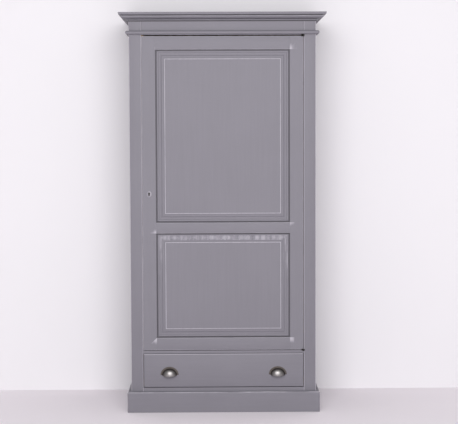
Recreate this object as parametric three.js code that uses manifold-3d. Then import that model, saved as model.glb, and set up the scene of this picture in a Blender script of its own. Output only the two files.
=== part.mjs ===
// A single-door painted wardrobe with a wide drawer below the hanging space.
// Millimetres. +Z is up, the front faces -Y, and the origin is the middle of the
// footprint at floor level.
import * as THREE from "three";
import { mergeVertices } from "three/addons/utils/BufferGeometryUtils.js";
import Module from "manifold-3d";

const wasm = await Module();
wasm.setup();

// ---- Driving dimensions -------------------------------------------------------
const bodyWidth = 890;
const bodyDepth = 540;
const overallHeight = 1915;
const fitGap = 0.3; // between glued or screwed pieces that touch
const past = 1; // how far a cutting shape runs past the face it cuts
const arris = 1.5; // eased edge on the visible face of frame pieces

const sideThickness = 18;
const frameThickness = 22;
const postWidth = 58;
const topBoardThickness = 18;
const tenonLength = 24;
const tenonThickness = 8;
const tenonShoulder = 8;

const corniceProjection = 48;
const corniceHeight = 41.5;
const fasciaHeight = 11.5;
const fasciaOverhang = 12;
const corniceQuirk = 5.5;
const corniceQuirkDepth = 2.5;
const corniceStep = 3; // from the lower fillet to the start of the ovolo
const corniceFillet = 5.5;
const corniceFilletProjection = 7;
const beadProjection = 16;
const beadThickness = 17.5;
const beadBelowCornice = 61;
const plinthProjection = 18;
const plinthHeight = 100;
const plinthRound = 9;

const bottomRailTop = 118;
const bottomRailHeight = 88;
const bottomRailDepth = 40;
const drawerOpeningHeight = 164;
const floorBoardThickness = 15.5;
const floorBoardSetback = 4;
const topRailDrop = 2; // how far the top rail shows below the bead

const doorThickness = 22;
const doorSideGap = 2.5;
const doorLockGap = 1.2; // narrower, at the edge that locks
const doorTopGap = 6;
const doorBottomGap = 2.5;
const stileWidth = 64;
const doorTopRailWidth = 63.5;
const doorMiddleRailWidth = 51;
const doorMiddleRailHeight = 615.5; // from the door's bottom edge to the rail's
const doorBottomRailWidth = 60;
const grooveDepth = 8;
const grooveEndGap = 1;
const doorTenonShoulder = 4; // from the groove to the tenon
const panelTongue = 6;
const panelFaceInset = 0.6;
const panelQuirkDepth = 9.5;
const panelMargin = 45; // from the frame's inner edge to the raised field

const backBoardCount = 6;
const backBoardThickness = 12;
const backTongueThickness = 4;
const backTongueLength = 6;
const backJointBevel = 2.5;

const shelfThickness = 16;
const shelfBelowTop = 271.7; // from the carcass top down to the shelf's underside
const shelfSetback = 60;
const battenSize = 20;
const hangingRailRadius = 14;
const hangingRailBelowShelf = 65;
const socketRadius = 28;
const socketFlange = 4;
const socketDepth = 18;
const socketWall = 4;

const drawerSideGap = 2.5;
const drawerTopGap = 1;
const drawerBottomGap = 2.5;
const drawerFrontThickness = 22;
const drawerBackGap = 28; // behind the closed drawer
const drawerSideThickness = 14;
const drawerSideClearance = 1;
const drawerSideHeight = 150;
const drawerRunClearance = 0.5;
const drawerBottomThickness = 8;
const drawerBottomRise = 11;
const drawerBottomGroove = 6;
const drawerBackDrop = 8;
const runnerHeight = 20;
const runnerWidth = 62;
const guideHeight = 45;
const guideClearance = 2.5;
const stopHeight = 5;
const stopWidth = 50;
const stopDepth = 15;
const stopFromCentre = 250;
const doorStopThickness = 12;
const doorStopLap = 7.5;
const doorStopWidth = 20;
const stopOverlap = 1; // to each side of where the two parts of the door stop meet

const pullSpacing = 522;
const pullWidth = 87;
const pullFlangeHeight = 39;
const pullFlange = 8;
const pullFlangeThickness = 1.6;
const pullDepth = 24;
const pullWall = 2;
const pullLipDrop = 8;
const pullMargin = 10; // of the cutting wedge around the pull
const pullAboveDrawer = 60; // from the drawer front's lower edge to the flange

const lockHeight = 756; // keyhole above the door's bottom edge
const lockBackset = 32.3;
const lockCaseMargin = 8; // wood between the lock case and the panel groove
const lockFaceWood = 10; // wood left in front of the lock case
const lockCaseHeight = 64;
const lockCaseDrop = 8; // the case's middle below the bolt
const lockCaseDepth = 12;
const boltThickness = 6;
const boltHeight = 18;
const boltLength = 32;
const boltTravel = 8;
const boltEndGap = 3; // behind the thrown bolt, in the post and in the case
const boltAboveKeyhole = 2;
const boltClearance = 0.6;
const strikeThickness = 1.5;
const strikeWidth = 11;
const strikeHeight = 56;
const keyholeRadius = 4.5;
const keyholeSlotWidth = 5;
const keyholeSlotLength = 11;
const keyholeFlare = 1;
const escutcheonWidth = 23;
const escutcheonHeight = 30;
const escutcheonThickness = 1.2;
const escutcheonDrop = 3;

const pivotStandoff = 5.5; // the door's pivot in front of its face
const hingeLeafThickness = 2.2;
const hingeLeafWidth = 10;
const hingeLeafLength = 60;
const hingeLeafInset = 3; // from the door's edge
const hingeLeafProud = 0.6; // of the top frame leaf below its rail
const hingeEyeRadius = 4.8;
const hingePinRadius = 2.2;
const hingePinClearance = 0.3;
const hingeCollarRadius = 3.8;
const hingeCollarOverlap = 0.5;
const hingeNeckWidth = 6;

// ---- Places worked out from them ----------------------------------------------
const halfWidth = bodyWidth / 2;
const front = -(bodyDepth + corniceProjection) / 2 + corniceProjection;
const back = front + bodyDepth;
const carcassTop = overallHeight - topBoardThickness - fitGap;
const insideX = halfWidth - sideThickness - fitGap;
const openingX = halfWidth - postWidth;
const backBoardFront = back - backBoardThickness;
const shelfUnderside = carcassTop - shelfBelowTop;
const behindFrame = front + frameThickness + fitGap;

const corniceBottom = overallHeight - corniceHeight;
const beadBottom = corniceBottom - beadBelowCornice;
const topRailBottom = beadBottom - topRailDrop;
const floorBoardBottom = bottomRailTop + drawerOpeningHeight;
const floorBoardTop = floorBoardBottom + floorBoardThickness;

const doorBottom = floorBoardTop + doorBottomGap;
const doorTop = topRailBottom - doorTopGap;
const doorX = openingX - doorSideGap;
const lockEdgeX = openingX - doorLockGap;
const panelX = doorX - stileWidth;
const lockZ = doorBottom + lockHeight;
const lockX = -lockEdgeX + lockBackset;
const lockCaseWidth = stileWidth - grooveDepth - lockCaseMargin;
const doorBack = front + doorThickness;

const drawerX = openingX - drawerSideGap;
const drawerFrontBottom = bottomRailTop + drawerBottomGap;
const drawerFrontTop = floorBoardBottom - drawerTopGap;
const drawerSideX = drawerX - drawerSideClearance;
const drawerSideBottom = bottomRailTop + drawerRunClearance;
const pivotX = openingX - doorSideGap / 2;
const pivotY = front - pivotStandoff;

// ---- Finishes ------------------------------------------------------------------
const finish = (color, roughness, metalness) =>
  new THREE.MeshStandardMaterial({ color, roughness, metalness });
const paint = finish(0x96929a, 0.6, 0);
const bareWood = finish(0xc9a878, 0.7, 0);
const pewter = finish(0x4a4648, 0.35, 0.9);
const steel = finish(0x8d8c88, 0.4, 0.9);

// ---- Shape helpers -------------------------------------------------------------
function meshFrom(positions, indices) {
  let volume = 0;
  const at = (i) => new THREE.Vector3().fromArray(positions, i * 3);
  for (let i = 0; i < indices.length; i += 3) {
    volume += at(indices[i]).dot(at(indices[i + 1]).cross(at(indices[i + 2])));
  }
  const geometry = new THREE.BufferGeometry();
  geometry.setAttribute("position", new THREE.Float32BufferAttribute(positions, 3));
  geometry.setIndex(volume < 0 ? [...indices].reverse() : indices);
  return geometry;
}

// A closed solid through matching loops of points, with flat ends.
function loft(loops, outline) {
  const count = outline.length;
  const positions = loops.flat(2);
  const indices = [];
  for (let k = 0; k < loops.length - 1; k += 1) {
    for (let i = 0; i < count; i += 1) {
      const a = k * count + i;
      const b = k * count + ((i + 1) % count);
      indices.push(a, b, b + count, a, b + count, a + count);
    }
  }
  const points = outline.map(([u, v]) => new THREE.Vector2(u, v));
  const clockwise = THREE.ShapeUtils.isClockWise(points);
  const last = (loops.length - 1) * count;
  for (const [a, b, c] of THREE.ShapeUtils.triangulateShape(points, [])) {
    const [p, q] = clockwise ? [c, b] : [b, c];
    indices.push(a, q, p);
    indices.push(last + a, last + p, last + q);
  }
  return meshFrom(positions, indices);
}

// An outline carried straight along one axis: (y, z) along x, (x, z) along y or
// (x, y) along z.
function prism(axis, outline, from, to) {
  const place = {
    x: (t) => ([u, v]) => [t, u, v],
    y: (t) => ([u, v]) => [u, t, v],
    z: (t) => ([u, v]) => [u, v, t],
  }[axis];
  return loft([outline.map(place(from)), outline.map(place(to))], outline);
}

const rectangle = (u0, u1, v0, v1) => [[u0, v0], [u1, v0], [u1, v1], [u0, v1]];

const block = (x0, x1, y0, y1, z0, z1) => prism("z", rectangle(x0, x1, y0, y1), z0, z1);

// Rectangles at several depths, each inset from one outline; used for boards with
// eased front edges and for raised panels.
function stepped(x0, x1, z0, z1, steps) {
  const loops = steps.map(([inset, y]) =>
    rectangle(x0 + inset, x1 - inset, z0 + inset, z1 - inset).map(([x, z]) => [x, y, z]));
  return loft(loops, rectangle(x0, x1, z0, z1));
}

const easedBoard = (x0, x1, y0, y1, z0, z1, ease = arris) =>
  stepped(x0, x1, z0, z1, [[0, y1], [0, y0 + ease], [ease, y0]]);

function arc(centreU, centreV, radiusU, radiusV, fromDeg, toDeg, segments) {
  const points = [];
  for (let i = 0; i <= segments; i += 1) {
    const angle = THREE.MathUtils.degToRad(fromDeg + ((toDeg - fromDeg) * i) / segments);
    points.push([centreU + radiusU * Math.cos(angle), centreV + radiusV * Math.sin(angle)]);
  }
  return points;
}

const ring = (centreU, centreV, radiusU, radiusV, segments) =>
  arc(centreU, centreV, radiusU, radiusV, 0, 360 - 360 / segments, segments - 1);

function toSolid(geometry) {
  const bare = geometry.clone();
  bare.deleteAttribute("normal");
  bare.deleteAttribute("uv");
  const merged = mergeVertices(bare, 1e-4);
  return new wasm.Manifold(new wasm.Mesh({
    numProp: 3,
    vertProperties: new Float32Array(merged.attributes.position.array),
    triVerts: new Uint32Array(merged.index.array),
  }));
}

function fromSolid(solid) {
  const mesh = solid.getMesh();
  const geometry = new THREE.BufferGeometry();
  geometry.setAttribute("position", new THREE.BufferAttribute(mesh.vertProperties, 3));
  geometry.setIndex(new THREE.BufferAttribute(mesh.triVerts, 1));
  return geometry;
}

const combine = (how, first, others) =>
  fromSolid(others.reduce((solid, next) => solid[how](toSolid(next)), toSolid(first)));
const join = (first, ...others) => combine("add", first, others);
const cut = (first, ...others) => combine("subtract", first, others);
const keep = (first, ...others) => combine("intersect", first, others);

const wardrobe = new THREE.Group();
const bodies = {};
for (const name of ["carcass", "door", "lock_bolt", "drawer"]) {
  bodies[name] = new THREE.Group();
  wardrobe.add(bodies[name]);
}

function piece(body, name, geometry, material) {
  const mesh = new THREE.Mesh(geometry, material);
  mesh.name = name;
  bodies[body].add(mesh);
}

const sides = [["left", -1], ["right", 1]];
const between = (sign, a, b) => (sign < 0 ? [-b, -a] : [a, b]);

// A tenon on each end of a rail, and the mortise that takes it.
const tenonY = front + (frameThickness - tenonThickness) / 2;
const tenonBlock = (x0, x1, z0, z1, clear) => block(
  x0 - clear, x1 + clear, tenonY - clear, tenonY + tenonThickness + clear,
  z0 + tenonShoulder - clear, z1 - tenonShoulder + clear);

// ---- Carcass: sides, posts, rails and boards -----------------------------------
function addSides() {
  for (const [side, sign] of sides) {
    const [x0, x1] = between(sign, halfWidth - sideThickness, halfWidth);
    piece("carcass", `${side}_side_panel`,
      block(x0, x1, behindFrame, back, 0, carcassTop), paint);
  }
}

const frameRails = [
  [bottomRailTop - bottomRailHeight, bottomRailTop],
  [topRailBottom, carcassTop],
];

function addPosts() {
  for (const [side, sign] of sides) {
    const [x0, x1] = between(sign, openingX, halfWidth);
    const mortises = frameRails.map(([z0, z1]) => {
      const [m0, m1] = between(sign, openingX - past, openingX + tenonLength);
      return tenonBlock(m0, m1, z0, z1, fitGap);
    });
    const post = cut(
      easedBoard(x0, x1, front, front + frameThickness, 0, carcassTop), ...mortises);
    piece("carcass", `${side}_post`, side === "left" ? cut(post, ...strikeRecess()) : post, paint);
  }
}

function addFrameRails() {
  const [bottom, top] = frameRails;
  const x = openingX - fitGap;
  const tenons = ([z0, z1]) => [-1, 1].map((sign) => {
    const [t0, t1] = between(sign, x - past, openingX + tenonLength - fitGap);
    return tenonBlock(t0, t1, z0, z1, 0);
  });
  piece("carcass", "bottom_rail", join(
    easedBoard(-x, x, front, front + bottomRailDepth, ...bottom), ...tenons(bottom)), paint);
  piece("carcass", "top_rail", cut(join(
    easedBoard(-x, x, front, front + frameThickness, ...top), ...tenons(top)),
  frameLeafSolid("top", fitGap)), paint);
  piece("carcass", "rear_bottom_rail", block(
    -insideX, insideX, backBoardFront - fitGap - frameThickness, backBoardFront - fitGap,
    ...bottom), bareWood);
}

// The floor of the hanging space: narrow between the posts, full width behind them.
function addFloorBoard() {
  const x = openingX - fitGap;
  const y0 = front + floorBoardSetback;
  const y1 = backBoardFront - fitGap;
  const outline = [
    [-x, y0], [x, y0], [x, behindFrame], [insideX, behindFrame], [insideX, y1],
    [-insideX, y1], [-insideX, behindFrame], [-x, behindFrame],
  ];
  const board = prism("z", outline, floorBoardBottom, floorBoardTop);
  piece("carcass", "wardrobe_floor", cut(board, frameLeafSolid("bottom", fitGap)), paint);
}

function addTopBoard() {
  piece("carcass", "top_board", block(
    -halfWidth, halfWidth, front, back, overallHeight - topBoardThickness, overallHeight), paint);
}

// Tongued and grooved back boards, bevelled along each joint.
function addBackBoards() {
  const pitch = (2 * insideX) / backBoardCount;
  const z0 = bottomRailTop - bottomRailHeight;
  const middle = (backBoardFront + back) / 2;
  const t = backTongueThickness / 2;
  for (let i = 0; i < backBoardCount; i += 1) {
    const x0 = -insideX + i * pitch + (i > 0 ? fitGap : 0);
    const x1 = -insideX + (i + 1) * pitch;
    const tongue = i < backBoardCount - 1
      ? [[x1, middle - t], [x1 + backTongueLength, middle - t],
        [x1 + backTongueLength, middle + t], [x1, middle + t]]
      : [];
    const gt = t + fitGap;
    const depth = backTongueLength + fitGap;
    const groove = i > 0
      ? [[x0, middle + gt], [x0 + depth, middle + gt], [x0 + depth, middle - gt], [x0, middle - gt]]
      : [];
    const outline = [
      [x0 + backJointBevel, backBoardFront], [x1 - backJointBevel, backBoardFront],
      [x1, backBoardFront + backJointBevel], ...tongue, [x1, back - backJointBevel],
      [x1 - backJointBevel, back], [x0 + backJointBevel, back],
      [x0, back - backJointBevel], ...groove, [x0, backBoardFront + backJointBevel],
    ];
    piece("carcass", `back_board_${i + 1}`, prism("z", outline, z0, carcassTop), bareWood);
  }
}

// ---- Mouldings that wrap the front and both sides, mitred at the front corners --
function addMoulding(name, profile) {
  const ends = (x, y) => profile.map(([p, z]) => [x(p), y(p), z]);
  const mitreGap = fitGap * Math.SQRT2;
  const frontRun = [
    ends((p) => -(halfWidth + p), (p) => front - p),
    ends((p) => halfWidth + p, (p) => front - p),
  ];
  piece("carcass", `${name}_front`, loft(frontRun, profile), paint);
  for (const [side, sign] of sides) {
    const sideRun = [
      ends((p) => sign * (halfWidth + p), (p) => front - p + mitreGap),
      ends((p) => sign * (halfWidth + p), () => back),
    ];
    piece("carcass", `${name}_${side}`, loft(sideRun, profile), paint);
  }
}

function corniceProfile() {
  const fasciaBottom = overallHeight - fasciaHeight;
  const ovoloTop = fasciaBottom - corniceQuirk;
  const ovoloBottom = corniceBottom + corniceFillet;
  const ovoloStart = corniceFilletProjection + corniceStep;
  const ovoloReach = corniceProjection - fasciaOverhang - ovoloStart;
  return [
    [fitGap, corniceBottom],
    [corniceFilletProjection, corniceBottom],
    [corniceFilletProjection, ovoloBottom],
    ...arc(ovoloStart, ovoloTop, ovoloReach, ovoloTop - ovoloBottom, -90, 0, 8),
    [ovoloStart + ovoloReach - corniceQuirkDepth, ovoloTop],
    [ovoloStart + ovoloReach - corniceQuirkDepth, fasciaBottom],
    [corniceProjection - arris, fasciaBottom],
    [corniceProjection, fasciaBottom + arris],
    [corniceProjection, overallHeight - arris],
    [corniceProjection - arris, overallHeight],
    [fitGap, overallHeight],
  ];
}

function beadProfile() {
  const radius = beadThickness / 2;
  return [
    [fitGap, beadBottom],
    ...arc(beadProjection - radius, beadBottom + radius, radius, radius, -90, 90, 12),
    [fitGap, beadBottom + beadThickness],
  ];
}

function plinthProfile() {
  const roundP = plinthProjection - plinthRound;
  const roundZ = plinthHeight - plinthRound;
  return [
    [fitGap, 0],
    [plinthProjection, 0],
    ...arc(roundP, roundZ, plinthRound, plinthRound, 0, 90, 6),
    [fitGap, plinthHeight],
  ];
}

// ---- Inside the wardrobe --------------------------------------------------------
const hangingRailY = (behindFrame + backBoardFront) / 2;
const hangingRailZ = shelfUnderside - hangingRailBelowShelf;
const socketBoreRadius = hangingRailRadius + fitGap;

function socketGeometry(sign) {
  const outer = socketBoreRadius + socketWall;
  const profile = [
    [0, 0], [socketRadius, 0], [socketRadius, socketFlange], [outer, socketFlange],
    [outer, socketDepth], [socketBoreRadius, socketDepth], [socketBoreRadius, socketFlange],
    [0, socketFlange],
  ].map(([r, h]) => new THREE.Vector2(r, h));
  const lathe = mergeVertices(stripped(new THREE.LatheGeometry(profile, 24)), 1e-4);
  lathe.rotateZ((sign * Math.PI) / 2);
  lathe.translate(sign * insideX, hangingRailY, hangingRailZ);
  return lathe;
}

function stripped(geometry) {
  geometry.deleteAttribute("normal");
  geometry.deleteAttribute("uv");
  return geometry;
}

function addFittings() {
  const shelfY = behindFrame + shelfSetback;
  piece("carcass", "hat_shelf", block(
    -insideX, insideX, shelfY, backBoardFront - fitGap,
    shelfUnderside, shelfUnderside + shelfThickness), bareWood);
  for (const [side, sign] of sides) {
    const [x0, x1] = between(sign, insideX - battenSize, insideX);
    piece("carcass", `shelf_batten_${side}`, block(
      x0, x1, shelfY + battenSize, backBoardFront - battenSize,
      shelfUnderside - fitGap - battenSize, shelfUnderside - fitGap), bareWood);
    piece("carcass", `rail_socket_${side}`, socketGeometry(sign), steel);
  }
  const railEnd = insideX - socketFlange - fitGap;
  const rail = stripped(new THREE.CylinderGeometry(
    hangingRailRadius, hangingRailRadius, 2 * railEnd, 24));
  rail.rotateZ(Math.PI / 2);
  rail.translate(0, hangingRailY, hangingRailZ);
  piece("carcass", "hanging_rail", mergeVertices(rail, 1e-4), bareWood);
}

// A strip behind the left post that the closed door meets: a part fixed to the frame
// and a part that laps the door, which need not be as thick.
function addDoorStop() {
  const stopX = doorX - doorStopLap;
  const lapFront = doorBack + fitGap;
  const bothFronts = Math.max(behindFrame, lapFront);
  const stopBack = bothFronts + doorStopThickness;
  const edgeX = openingX - fitGap;
  const zTop = topRailBottom + doorStopWidth;
  piece("carcass", "door_stop_left", join(
    block(-stopX - doorStopWidth, -edgeX, behindFrame, stopBack, floorBoardTop + fitGap, zTop),
    block(-edgeX - stopOverlap, -edgeX + stopOverlap, bothFronts, stopBack,
      floorBoardTop + fitGap, zTop),
    block(-edgeX, -stopX, lapFront, stopBack, floorBoardTop + fitGap, zTop)), bareWood);
}

// ---- Drawer runners, guides and stops --------------------------------------------
function addDrawerTrack() {
  const runnerFront = front + bottomRailDepth + fitGap;
  const runnerBack = backBoardFront - frameThickness - 2 * fitGap;
  for (const [side, sign] of sides) {
    const [x0, x1] = between(sign, insideX - runnerWidth, insideX);
    piece("carcass", `drawer_runner_${side}`, block(
      x0, x1, runnerFront, runnerBack, bottomRailTop - runnerHeight, bottomRailTop), bareWood);
    const [g0, g1] = between(sign, drawerSideX + guideClearance, insideX);
    piece("carcass", `drawer_guide_${side}`, block(
      g0, g1, runnerFront, backBoardFront - fitGap,
      bottomRailTop + fitGap, bottomRailTop + guideHeight), bareWood);
    const [s0, s1] = between(sign, stopFromCentre, stopFromCentre + stopWidth);
    const stopY = front + drawerFrontThickness + fitGap;
    piece("carcass", `drawer_stop_${side}`, block(
      s0, s1, stopY, stopY + stopDepth,
      bottomRailTop + fitGap, bottomRailTop + stopHeight), bareWood);
  }
}

// ---- Door: frame, raised panels and lock -------------------------------------------
const doorRails = [
  ["door_bottom_rail", doorBottom, doorBottom + doorBottomRailWidth],
  ["door_middle_rail", doorBottom + doorMiddleRailHeight - doorMiddleRailWidth,
    doorBottom + doorMiddleRailHeight],
  ["door_top_rail", doorTop - doorTopRailWidth, doorTop],
];
const panelOpenings = [
  ["door_lower_panel", doorRails[0][2], doorRails[1][1]],
  ["door_upper_panel", doorRails[1][2], doorRails[2][1]],
];
const tongueY = front + panelQuirkDepth;
const lockY = front + lockFaceWood;

// The slot for the panels' tongues, in every frame piece around an opening.
const panelGrooves = () => panelOpenings.map(([, z0, z1]) => block(
  -panelX - grooveDepth, panelX + grooveDepth, tongueY - fitGap, tongueY + panelTongue + fitGap,
  z0 - grooveDepth, z1 + grooveDepth));

function railTenons(z0, z1, clear) {
  return [-1, 1].map((sign) => {
    const [t0, t1] = between(sign, panelX - fitGap - past, panelX + tenonLength);
    const y0 = tongueY - clear;
    const shoulder = grooveDepth + doorTenonShoulder - clear;
    return block(t0 - clear, t1 + clear, y0, tongueY + panelTongue + clear,
      z0 + shoulder, z1 - shoulder);
  });
}

function addDoorFrame() {
  const mortises = doorRails.flatMap(([, z0, z1]) => railTenons(z0, z1, fitGap));
  const leaves = [doorLeafSolid("top", fitGap), doorLeafSolid("bottom", fitGap)];
  for (const [name, sign, edge] of [
    ["door_lock_stile", -1, lockEdgeX], ["door_hinge_stile", 1, doorX],
  ]) {
    const [x0, x1] = between(sign, panelX, edge);
    const stile = cut(easedBoard(x0, x1, front, front + doorThickness, doorBottom, doorTop),
      ...panelGrooves(), ...mortises);
    const fittings = sign < 0 ? lockRecess() : leaves;
    piece("door", name, cut(stile, ...fittings), paint);
  }
  const x = panelX - fitGap;
  const y1 = front + doorThickness;
  for (const [name, z0, z1] of doorRails) {
    const outline = [
      [y1, z0], [y1, z1], [front + arris, z1], [front, z1 - arris],
      [front, z0 + arris], [front + arris, z0],
    ];
    const rail = join(prism("x", outline, -x, x), ...railTenons(z0, z1, 0));
    piece("door", name, cut(rail, ...panelGrooves(), ...leaves), paint);
  }
}

// Section of a raised panel from the tongue to the field: distance in from the
// frame's edge, and depth behind the door's face.
function panelSteps() {
  const fillet = 3.6;
  const lipStart = panelMargin - 8;
  return [
    [grooveEndGap - grooveDepth, panelQuirkDepth + panelTongue],
    [grooveEndGap - grooveDepth, panelQuirkDepth],
    [5, panelQuirkDepth],
    [5.4, 6.6], [6.6, 5.2], [8.6, 4.4], [11, 4.2], [13.4, 4.5], [15.4, 5.4], [16.6, 6.4],
    [18.5, 7.4], [21, 7.9], [23.8, 7.6], [26.4, 6.5], [28.6, 5.0], [29.8, fillet],
    [lipStart, fillet - 0.4],
    [lipStart + 0.6, 2.6], [lipStart + 2, 1.7], [lipStart + 4.5, 1.3], [panelMargin - 0.8, 1.2],
    [panelMargin, panelFaceInset],
  ].map(([inset, depth]) => [inset, front + depth]);
}

function addDoorPanels() {
  for (const [name, z0, z1] of panelOpenings) {
    piece("door", name, stepped(-panelX, panelX, z0, z1, panelSteps()), paint);
  }
}

// Round top with a straight slot that flares at the foot.
function keyholeOutline() {
  const half = keyholeSlotWidth / 2;
  const foot = lockZ - keyholeSlotLength;
  const angle = THREE.MathUtils.radToDeg(Math.acos(half / keyholeRadius));
  return [
    [lockX - half - keyholeFlare, foot], [lockX + half + keyholeFlare, foot],
    ...arc(lockX, lockZ, keyholeRadius, keyholeRadius, -angle, 180 + angle, 20),
  ];
}

const boltRange = (z, clear) => [z - boltHeight / 2 - clear, z + boltHeight / 2 + clear];
const boltY = lockY + (lockCaseDepth - boltThickness) / 2;
const boltZ = lockZ + keyholeRadius + boltHeight / 2 + boltAboveKeyhole;
const lockCaseZ = boltZ - lockCaseDrop;

const boltChannel = (x0, x1, clear) => block(
  x0, x1, boltY - clear, boltY + boltThickness + clear, ...boltRange(boltZ, clear));

function lockRecess() {
  const half = lockCaseHeight / 2 + fitGap;
  return [
    block(-lockEdgeX - past, -lockEdgeX + lockCaseWidth + fitGap, lockY - fitGap, doorBack + past,
      lockCaseZ - half, lockCaseZ + half),
    prism("y", keyholeOutline(), front - past, lockY),
  ];
}

function strikeRecess() {
  const middle = boltY + boltThickness / 2;
  const half = strikeWidth / 2 + fitGap;
  const x = -openingX;
  return [
    block(x - strikeThickness - fitGap, x + past, middle - half, middle + half,
      boltZ - strikeHeight / 2 - fitGap, boltZ + strikeHeight / 2 + fitGap),
    boltChannel(x - boltTravel - boltEndGap, x, boltClearance),
  ];
}

function addLock() {
  const caseBody = block(-lockEdgeX + fitGap, -lockEdgeX + lockCaseWidth, lockY, lockY + lockCaseDepth,
    lockCaseZ - lockCaseHeight / 2, lockCaseZ + lockCaseHeight / 2);
  piece("door", "lock_case", cut(caseBody,
    boltChannel(-lockEdgeX - past, -lockEdgeX + boltLength + boltEndGap, boltClearance),
    prism("y", keyholeOutline(), lockY - past, boltY + boltThickness)), steel);
  piece("lock_bolt", "lock_bolt", boltChannel(-lockEdgeX + fitGap, -lockEdgeX + boltLength, 0), steel);

  const middle = boltY + boltThickness / 2;
  const plate = block(-openingX - strikeThickness, -openingX, middle - strikeWidth / 2,
    middle + strikeWidth / 2, boltZ - strikeHeight / 2, boltZ + strikeHeight / 2);
  piece("carcass", "strike_plate", cut(plate,
    boltChannel(-openingX - boltTravel, -openingX + past, boltClearance)), steel);

  const oval = ring(
    lockX, lockZ - escutcheonDrop, escutcheonWidth / 2, escutcheonHeight / 2, 32);
  piece("door", "keyhole_escutcheon", cut(
    prism("y", oval, front - escutcheonThickness, front - fitGap),
    prism("y", keyholeOutline(), front - escutcheonThickness - past, front + past)), paint);
}

// ---- Pivot hinges at the door's top and bottom corners ------------------------------
// Each leaf is a strap let into an edge, with a neck reaching forward to an eye.
const pinSolid = (radius, z0, z1) =>
  prism("z", ring(pivotX, pivotY, radius, radius, 16), z0, z1);

function leafSolid(z0, z1, clear) {
  const strapY = front + (doorThickness - hingeLeafWidth) / 2;
  const x1 = doorX - hingeLeafInset;
  const bottom = z0 - clear;
  const top = z1 + clear;
  const strap = block(x1 - hingeLeafLength - clear, x1 + clear, strapY - clear,
    strapY + hingeLeafWidth + clear, bottom, top);
  const neckOutline = [
    [x1 + clear, strapY + hingeLeafWidth / 2],
    [x1 - hingeNeckWidth - clear, strapY + hingeLeafWidth / 2],
    [pivotX - hingeNeckWidth / 2 - clear, pivotY],
    [pivotX + hingeNeckWidth / 2 + clear, pivotY],
  ];
  const eye = pinSolid(hingeEyeRadius + clear, bottom, top);
  return join(strap, prism("z", neckOutline, bottom, top), eye);
}

const leafHeights = {
  doorTop: [doorTop - hingeLeafThickness, doorTop],
  frameTop: [topRailBottom - hingeLeafProud,
    topRailBottom - hingeLeafProud + hingeLeafThickness],
  doorBottom: [doorBottom, doorBottom + hingeLeafThickness],
  frameBottom: [floorBoardTop - hingeLeafThickness, floorBoardTop],
};

function doorLeafSolid(end, clear) {
  const [z0, z1] = end === "top" ? leafHeights.doorTop : leafHeights.doorBottom;
  return leafSolid(z0, z1, clear);
}

function frameLeafSolid(end, clear) {
  const [z0, z1] = end === "top" ? leafHeights.frameTop : leafHeights.frameBottom;
  return leafSolid(z0, z1, clear);
}

function addHinges() {
  for (const end of ["top", "bottom"]) {
    const door = end === "top" ? leafHeights.doorTop : leafHeights.doorBottom;
    const frame = end === "top" ? leafHeights.frameTop : leafHeights.frameBottom;
    const low = Math.min(door[0], frame[0]);
    const high = Math.max(door[1], frame[1]);
    piece("door", `hinge_door_leaf_${end}`, cut(
      doorLeafSolid(end, 0),
      pinSolid(hingePinRadius + hingePinClearance, low - past, high + past)), steel);
    const collar = end === "top"
      ? [door[1] + fitGap, frame[0] + hingeCollarOverlap]
      : [frame[1] - hingeCollarOverlap, door[0] - fitGap];
    piece("carcass", `hinge_frame_leaf_${end}`, join(
      frameLeafSolid(end, 0),
      pinSolid(hingePinRadius, low, high),
      pinSolid(hingeCollarRadius, ...collar)), steel);
  }
}

// ---- Drawer ----------------------------------------------------------------------------
function addDrawer() {
  const backOfFront = front + drawerFrontThickness;
  const end = backBoardFront - drawerBackGap;
  const bottomZ = drawerSideBottom + drawerBottomRise;
  const sideTop = drawerSideBottom + drawerSideHeight;
  const innerX = drawerSideX - drawerSideThickness;
  const bottomX = innerX + drawerBottomGroove;
  const bottomGroove = block(
    -bottomX - fitGap, bottomX + fitGap, backOfFront - drawerBottomGroove - fitGap, end + past,
    bottomZ - fitGap, bottomZ + drawerBottomThickness + fitGap);
  piece("drawer", "drawer_front", cut(
    easedBoard(-drawerX, drawerX, front, backOfFront, drawerFrontBottom, drawerFrontTop),
    bottomGroove), paint);
  for (const [side, sign] of sides) {
    const [x0, x1] = between(sign, innerX, drawerSideX);
    piece("drawer", `drawer_side_${side}`, cut(
      block(x0, x1, backOfFront + fitGap, end, drawerSideBottom, sideTop),
      bottomGroove), bareWood);
  }
  piece("drawer", "drawer_bottom", block(
    -bottomX, bottomX, backOfFront - drawerBottomGroove, end,
    bottomZ, bottomZ + drawerBottomThickness), bareWood);
  piece("drawer", "drawer_back", block(
    -innerX + fitGap, innerX - fitGap, end - drawerSideThickness, end,
    bottomZ + drawerBottomThickness + fitGap, sideTop - drawerBackDrop), bareWood);
}

// A shell pull: an arched flange with a quarter-round cup, open underneath, whose
// lip dips towards the front.
function pullGeometry(x) {
  const z = drawerFrontBottom + pullAboveDrawer;
  const y = front - fitGap;
  const halfX = pullWidth / 2;
  const dome = (grow) => {
    const shape = stripped(new THREE.SphereGeometry(1, 36, 24));
    shape.scale(halfX - pullFlange + grow, pullDepth + grow, pullFlangeHeight - pullFlange + grow);
    shape.translate(x, y, z);
    return mergeVertices(shape, 1e-4);
  };
  const dip = pullLipDrop / pullDepth;
  const reach = pullDepth + pullMargin;
  const above = prism("x", [
    [y, z], [y, z + 2 * pullFlangeHeight], [y - reach, z + 2 * pullFlangeHeight],
    [y - reach, z - dip * reach],
  ], x - halfX - pullMargin, x + halfX + pullMargin);
  const shell = keep(cut(dome(0), dome(-pullWall)), above);
  const arch = [
    ...arc(x, z, halfX, pullFlangeHeight, 0, 180, 24),
    ...arc(x, z, halfX - pullFlange - pullWall, pullFlangeHeight - pullFlange - pullWall, 180, 0, 24),
  ];
  return join(shell, prism("y", arch, y - pullFlangeThickness, y));
}

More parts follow.
